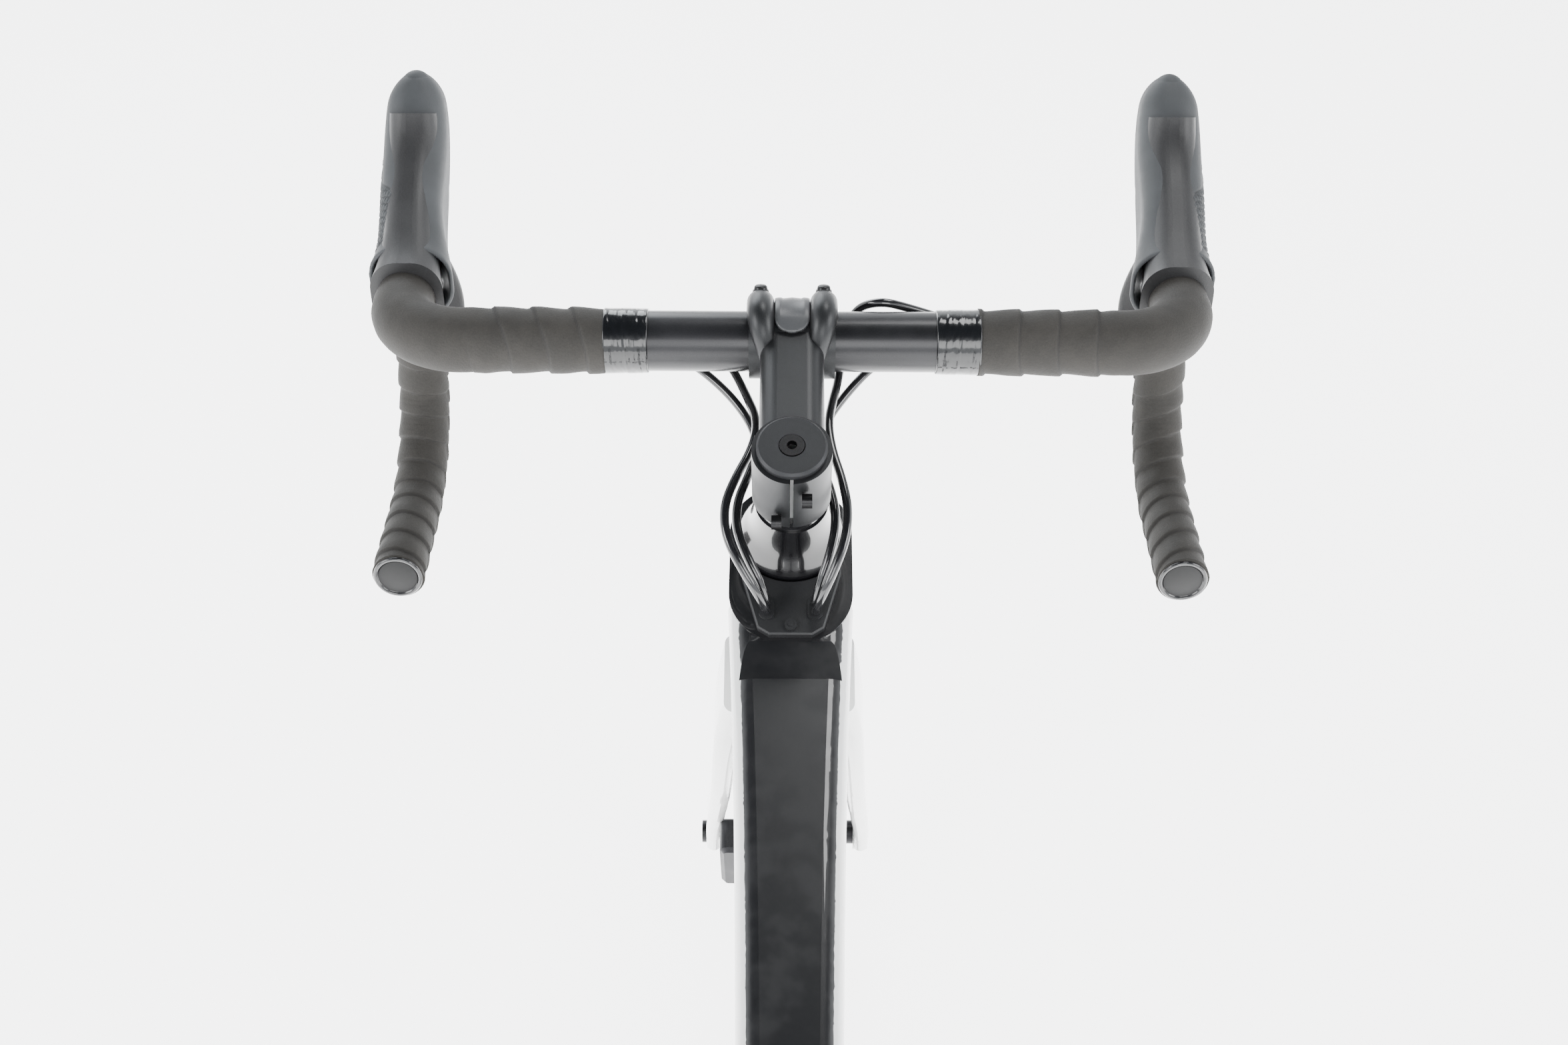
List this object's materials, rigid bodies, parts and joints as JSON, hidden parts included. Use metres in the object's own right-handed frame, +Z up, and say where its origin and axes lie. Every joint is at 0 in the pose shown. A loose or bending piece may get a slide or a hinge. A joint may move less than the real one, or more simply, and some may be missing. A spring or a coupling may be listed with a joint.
{
  "type": "road bicycle",
  "caption": "Road bicycle with a drop handlebar, hooded brake and shift levers, disc brakes, derailleur gears and hoses that enter the frame behind the stem.",
  "frame": {"origin": "on the ground, midway between the two axles, in the bicycle's middle plane", "axes": "+X to the rider's right, +Y forward, +Z up"},
  "size_m": [0.467, 1.682, 0.9658],
  "materials": {
    "white_paint": "glossy white paint over carbon",
    "black_paint": "glossy black paint",
    "black_cover": "satin moulded plastic",
    "gloss_cover": "glossy moulded plastic",
    "bearing_steel": "ground steel",
    "anodised_black": "satin black anodised aluminium",
    "anodised_grey": "bead-blasted dark grey anodised aluminium",
    "bolt_black": "black oxide steel",
    "hood_rubber": "matte moulded rubber",
    "bar_tape": "matte wrapped tape",
    "finishing_tape": "stretched glossy tape",
    "plug": "glossy plastic",
    "bracket_resin": "glass-filled resin",
    "caliper_black": "glossy black anodised aluminium",
    "hose_black": "glossy polymer hose",
    "tyre": "road tyre rubber",
    "rim_carbon": "satin carbon",
    "spoke": "black stainless steel",
    "rotor": "ground stainless steel",
    "chain": "nickel-plated steel",
    "cassette": "plated steel",
    "chainring": "black anodised aluminium",
    "pedal_resin": "carbon-filled resin",
    "saddle_base": "carbon-filled nylon",
    "saddle_cover": "microfibre",
    "rail_steel": "black tubular steel",
    "pulley_resin": "hard resin"
  },
  "bodies": {
    "frame": {"head_tube": "white_paint", "headset_bearings": "bearing_steel", "seat_tube": "white_paint", "top_tube": "white_paint", "down_tube": "white_paint", "rear_stays": "white_paint", "rear_thru_axle": "bolt_black", "bottom_bracket_cups": "anodised_black", "cable_port_cover": "black_cover", "rear_caliper": "caliper_black", "front_derailleur_mount": "anodised_black", "seat_clamp": "anodised_black", "chain": "chain"},
    "seatpost": {"seatpost": "anodised_black", "saddle_rails": "rail_steel", "saddle_clamp": "anodised_black", "saddle_shell": "saddle_base", "saddle_cover": "saddle_cover"},
    "steering": {"fork": "white_paint", "headset_cover": "gloss_cover", "top_cap": "anodised_black", "stem": "anodised_grey", "stem_faceplate": "anodised_grey", "stem_bolts": "bolt_black", "handlebar": "anodised_black", "bar_tape": "bar_tape", "finishing_tape": "finishing_tape", "bar_end_plugs": "plug", "lever_brackets": "bracket_resin", "hood_left": "hood_rubber", "hood_right": "hood_rubber", "front_caliper": "caliper_black", "front_thru_axle": "bolt_black", "hoses": "hose_black"},
    "brake_lever_left": {"brake_lever_left": "anodised_black"},
    "brake_lever_right": {"brake_lever_right": "anodised_black"},
    "shift_paddle_left": {"shift_paddle_left": "bracket_resin"},
    "shift_paddle_right": {"shift_paddle_right": "bracket_resin"},
    "front_wheel": {"front_tyre": "tyre", "front_rim": "rim_carbon", "front_spokes": "spoke", "front_hub": "anodised_black", "front_rotor": "rotor"},
    "rear_wheel": {"rear_tyre": "tyre", "rear_rim": "rim_carbon", "rear_spokes": "spoke", "rear_hub": "anodised_black", "rear_rotor": "rotor"},
    "cassette": {"cassette": "cassette"},
    "crankset": {"crank_arms": "anodised_black", "chainrings": "chainring"},
    "pedal_left": {"pedal_left": "pedal_resin"},
    "pedal_right": {"pedal_right": "pedal_resin"},
    "front_derailleur_cage": {"front_derailleur_cage": "anodised_black"},
    "derailleur_base": {"derailleur_base": "anodised_black"},
    "derailleur_link": {"derailleur_link": "anodised_black"},
    "derailleur_knuckle": {"derailleur_knuckle": "anodised_black"},
    "derailleur_cage": {"derailleur_cage": "anodised_black"},
    "guide_pulley": {"guide_pulley": "pulley_resin"},
    "tension_pulley": {"tension_pulley": "pulley_resin"}
  },
  "joints": [
    {"name": "steering", "type": "hinge", "parent": "frame", "child": "steering", "pos_m": [0, 0.29231, 0.819], "axis": [0, -0.3107, 0.9505], "range_deg": [-55, 55], "deforming": ["hoses"]},
    {"name": "front_wheel_spin", "type": "hinge", "parent": "steering", "child": "front_wheel", "pos_m": [0, 0.5, 0.341], "axis": [-1, 0, 0], "continuous": true},
    {"name": "rear_wheel_spin", "type": "hinge", "parent": "frame", "child": "rear_wheel", "pos_m": [0, -0.5, 0.341], "axis": [-1, 0, 0], "continuous": true},
    {"name": "crank_spin", "type": "hinge", "parent": "frame", "child": "crankset", "pos_m": [0, -0.08769, 0.261], "axis": [-1, 0, 0], "continuous": true, "deforming": ["chain"]},
    {"name": "cassette_spin", "type": "hinge", "parent": "frame", "child": "cassette", "pos_m": [0, -0.5, 0.341], "axis": [-1, 0, 0], "continuous": true, "deforming": ["chain"]},
    {"name": "pedal_left_spin", "type": "hinge", "parent": "crankset", "child": "pedal_left", "pos_m": [-0.066, -0.26019, 0.261], "axis": [-1, 0, 0], "continuous": true},
    {"name": "pedal_right_spin", "type": "hinge", "parent": "crankset", "child": "pedal_right", "pos_m": [0.066, 0.08481, 0.261], "axis": [-1, 0, 0], "continuous": true},
    {"name": "brake_left", "type": "hinge", "parent": "steering", "child": "brake_lever_left", "pos_m": [-0.214, 0.49374, 0.89603], "axis": [-1, 0, 0], "range_deg": [0, 16], "stiffness_Nm_per_rad": 0.8, "springref_deg": -11.46},
    {"name": "brake_right", "type": "hinge", "parent": "steering", "child": "brake_lever_right", "pos_m": [0.214, 0.49374, 0.89603], "axis": [-1, 0, 0], "range_deg": [0, 16], "stiffness_Nm_per_rad": 0.8, "springref_deg": -11.46},
    {"name": "shift_left", "type": "hinge", "parent": "brake_lever_left", "child": "shift_paddle_left", "pos_m": [-0.212, 0.48836, 0.87635], "axis": [0, -0.9976, 0.0698], "range_deg": [0, 14], "stiffness_Nm_per_rad": 0.3, "springref_deg": -11.46},
    {"name": "shift_right", "type": "hinge", "parent": "brake_lever_right", "child": "shift_paddle_right", "pos_m": [0.212, 0.48836, 0.87635], "axis": [0, 0.9976, -0.0698], "range_deg": [0, 14], "stiffness_Nm_per_rad": 0.3, "springref_deg": -11.46},
    {"name": "front_derailleur_shift", "type": "slide", "parent": "frame", "child": "front_derailleur_cage", "axis": [-1, 0, 0], "range_m": [0, 0.007], "deforming": ["chain"]},
    {"name": "derailleur_pivot", "type": "hinge", "parent": "frame", "child": "derailleur_base", "pos_m": [0.0807, -0.51, 0.315], "axis": [-1, 0, 0], "range_deg": [0, 15], "stiffness_Nm_per_rad": 4, "springref_deg": -17.19, "deforming": ["chain"]},
    {"name": "derailleur_shift", "type": "hinge", "parent": "derailleur_base", "child": "derailleur_link", "pos_m": [0.086, -0.502, 0.293], "axis": [0, -0.9168, -0.3995], "range_deg": [-22.6, 20.4], "deforming": ["chain"]},
    {"name": "derailleur_knuckle_turn", "type": "hinge", "parent": "derailleur_link", "child": "derailleur_knuckle", "pos_m": [0.0728, -0.48153, 0.24601], "axis": [0, -0.9168, -0.3995], "range_deg": [-20.5, 22.7], "deforming": ["chain"]},
    {"name": "derailleur_cage_swing", "type": "hinge", "parent": "derailleur_knuckle", "child": "derailleur_cage", "pos_m": [0.0468, -0.48553, 0.23801], "axis": [-1, 0, 0], "range_deg": [-15, 35], "stiffness_Nm_per_rad": 1.5, "deforming": ["chain"]},
    {"name": "guide_pulley_spin", "type": "hinge", "parent": "derailleur_cage", "child": "guide_pulley", "pos_m": [0.0468, -0.48553, 0.23801], "axis": [-1, 0, 0], "continuous": true, "deforming": ["chain"]},
    {"name": "tension_pulley_spin", "type": "hinge", "parent": "derailleur_cage", "child": "tension_pulley", "pos_m": [0.0468, -0.45197, 0.19318], "axis": [-1, 0, 0], "continuous": true, "deforming": ["chain"]},
    {"name": "seatpost_height", "type": "slide", "parent": "frame", "child": "seatpost", "axis": [0, -0.2807, 0.9598], "range_m": [-0.08, 0.03]}
  ],
  "couplings": [
    {"joint": "cassette_spin", "follows": "crank_spin", "ratio": 3.0588},
    {"joint": "guide_pulley_spin", "follows": "crank_spin", "ratio": -4.7273},
    {"joint": "tension_pulley_spin", "follows": "crank_spin", "ratio": 4.7273},
    {"joint": "derailleur_knuckle_turn", "follows": "derailleur_shift", "ratio": -1}
  ]
}
